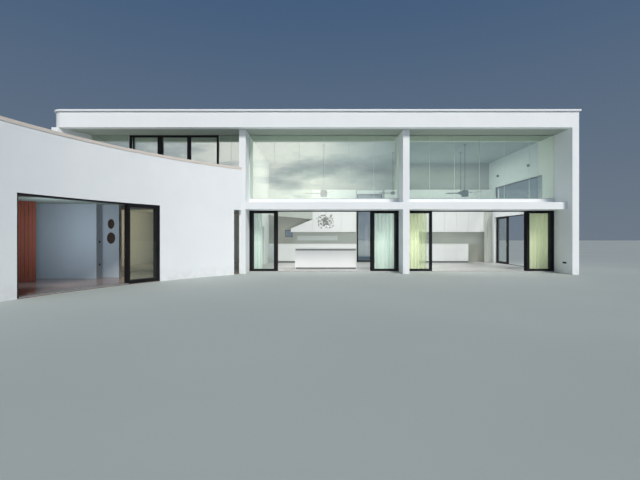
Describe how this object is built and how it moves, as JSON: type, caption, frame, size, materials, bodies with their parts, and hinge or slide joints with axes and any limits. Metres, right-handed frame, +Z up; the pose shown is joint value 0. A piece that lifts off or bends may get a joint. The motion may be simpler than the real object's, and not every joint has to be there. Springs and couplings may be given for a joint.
{
  "type": "beach house",
  "caption": "Flat-roofed white house of tall bays with a recessed glass front, telescopic sliding doors and a curved screen wall with a sliding gate before the porch.",
  "frame": {"origin": "on the ground, midway between the outer bay lines and midway between the fascia and the back wall", "axes": "+X to the right as seen from the front, +Y towards the back, +Z up"},
  "size_m": [21.655, 16.3123, 6.74],
  "materials": {
    "white_render": "smooth white painted render on masonry",
    "soffit": "matt pale grey painted concrete",
    "floor_stone": "honed pale grey stone tiles",
    "cap_stone": "warm beige coping stone",
    "black_frame": "black powder coating, satin",
    "glass": "clear glass with a faint green tint",
    "timber": "oiled red-brown vertical boards",
    "kitchen_white": "white lacquer",
    "island_stone": "pale stone worktop on a light plinth",
    "fan_metal": "brushed grey",
    "light_metal": "polished metal with clear discs",
    "mint_curtain": "sheer pale mint cloth",
    "lime_curtain": "yellow-green cloth"
  },
  "bodies": {
    "house": {"floor_slab": "floor_stone", "entry_floor": "floor_stone", "roof_deck": "soffit", "roof_parapet": "white_render", "roof_coping": "white_render", "right_wall_front": "white_render", "right_wall_rear": "white_render", "right_wall_over_door": "white_render", "left_fin": "white_render", "left_wall": "white_render", "back_wall_left": "white_render", "back_wall_right": "white_render", "inner_wall": "white_render", "upper_floor": "soffit", "column_left": "white_render", "column_middle": "white_render", "door_beam": "white_render", "glazing_sill": "white_render", "curved_wall_right": "white_render", "curved_wall_left": "white_render", "curved_wall_lintel": "white_render", "parapet_cap": "cap_stone", "porch_outer_wall": "white_render", "porch_back_wall": "white_render", "timber_screen": "timber", "entry_roof": "soffit", "upper_glass": "glass", "terrace_door_frame": "black_frame", "front_door_frames": "black_frame", "side_door_frame": "black_frame", "gate_frame": "black_frame", "door_fixed_glass": "glass", "window_frames": "black_frame", "window_glass": "glass", "kitchen_wall_units": "kitchen_white", "kitchen_base_units": "kitchen_white", "kitchen_island": "island_stone", "fan_stems": "fan_metal", "hanging_light": "light_metal", "curtains_left_bay": "mint_curtain", "curtains_right_bay": "lime_curtain"},
    "fan_rotor_left": {"fan_rotor_left": "fan_metal"},
    "fan_rotor_right": {"fan_rotor_right": "fan_metal"},
    "fan_rotor_rear_left": {"fan_rotor_rear_left": "fan_metal"},
    "fan_rotor_rear_right": {"fan_rotor_rear_right": "fan_metal"},
    "leaf_a_second": {"leaf_a_second": "black_frame"},
    "leaf_a_lead": {"leaf_a_lead": "black_frame"},
    "leaf_b_second": {"leaf_b_second": "black_frame"},
    "leaf_b_lead": {"leaf_b_lead": "black_frame"},
    "leaf_c_second": {"leaf_c_second": "black_frame"},
    "leaf_c_lead": {"leaf_c_lead": "black_frame"},
    "leaf_d_second": {"leaf_d_second": "black_frame"},
    "leaf_d_lead": {"leaf_d_lead": "black_frame"},
    "side_leaf_rear": {"side_leaf_rear": "black_frame"},
    "side_leaf_front": {"side_leaf_front": "black_frame"},
    "gate_leaf_second": {"gate_leaf_second": "black_frame"},
    "gate_leaf_third": {"gate_leaf_third": "black_frame"},
    "gate_leaf_lead": {"gate_leaf_lead": "black_frame"}
  },
  "joints": [
    {"name": "leaf_a_lead_slide", "type": "slide", "parent": "house", "child": "leaf_a_lead", "axis": [1, 0, 0], "range_m": [0, 2.03933]},
    {"name": "leaf_a_second_slide", "type": "slide", "parent": "house", "child": "leaf_a_second", "axis": [1, 0, 0], "range_m": [0, 1.01967]},
    {"name": "leaf_b_lead_slide", "type": "slide", "parent": "house", "child": "leaf_b_lead", "axis": [-1, 0, 0], "range_m": [0, 2.03933]},
    {"name": "leaf_b_second_slide", "type": "slide", "parent": "house", "child": "leaf_b_second", "axis": [-1, 0, 0], "range_m": [0, 1.01967]},
    {"name": "leaf_c_lead_slide", "type": "slide", "parent": "house", "child": "leaf_c_lead", "axis": [1, 0, 0], "range_m": [0, 2.03933]},
    {"name": "leaf_c_second_slide", "type": "slide", "parent": "house", "child": "leaf_c_second", "axis": [1, 0, 0], "range_m": [0, 1.01967]},
    {"name": "leaf_d_lead_slide", "type": "slide", "parent": "house", "child": "leaf_d_lead", "axis": [-1, 0, 0], "range_m": [0, 2.03933]},
    {"name": "leaf_d_second_slide", "type": "slide", "parent": "house", "child": "leaf_d_second", "axis": [-1, 0, 0], "range_m": [0, 1.01967]},
    {"name": "side_rear_slide", "type": "slide", "parent": "house", "child": "side_leaf_rear", "axis": [0, -1, 0], "range_m": [0, 1.112]},
    {"name": "side_front_slide", "type": "slide", "parent": "house", "child": "side_leaf_front", "axis": [0, 1, 0], "range_m": [0, 1.112]},
    {"name": "gate_lead_turn", "type": "hinge", "parent": "house", "child": "gate_leaf_lead", "pos_m": [4.51056, -13.73381, 0], "axis": [0, 0, 1], "range_deg": [0, 14.22]},
    {"name": "gate_third_turn", "type": "hinge", "parent": "house", "child": "gate_leaf_third", "pos_m": [4.51056, -13.73381, 0], "axis": [0, 0, 1], "range_deg": [0, 9.48]},
    {"name": "gate_second_turn", "type": "hinge", "parent": "house", "child": "gate_leaf_second", "pos_m": [4.51056, -13.73381, 0], "axis": [0, 0, 1], "range_deg": [0, 4.74]},
    {"name": "fan_left_spin", "type": "hinge", "parent": "house", "child": "fan_rotor_left", "pos_m": [0, -1.055, 3.65], "axis": [0, 0, 1], "continuous": true},
    {"name": "fan_right_spin", "type": "hinge", "parent": "house", "child": "fan_rotor_right", "pos_m": [6.84, -1.055, 3.65], "axis": [0, 0, 1], "continuous": true},
    {"name": "fan_rear_left_spin", "type": "hinge", "parent": "house", "child": "fan_rotor_rear_left", "pos_m": [3.68, 0.655, 3.865], "axis": [0, 0, 1], "continuous": true},
    {"name": "fan_rear_right_spin", "type": "hinge", "parent": "house", "child": "fan_rotor_rear_right", "pos_m": [7.27, 0.655, 3.865], "axis": [0, 0, 1], "continuous": true}
  ],
  "couplings": [
    {"joint": "leaf_a_second_slide", "follows": "leaf_a_lead_slide", "ratio": 0.5},
    {"joint": "leaf_b_second_slide", "follows": "leaf_b_lead_slide", "ratio": 0.5},
    {"joint": "leaf_c_second_slide", "follows": "leaf_c_lead_slide", "ratio": 0.5},
    {"joint": "leaf_d_second_slide", "follows": "leaf_d_lead_slide", "ratio": 0.5},
    {"joint": "gate_third_turn", "follows": "gate_lead_turn", "ratio": 0.66667},
    {"joint": "gate_second_turn", "follows": "gate_lead_turn", "ratio": 0.33333}
  ]
}
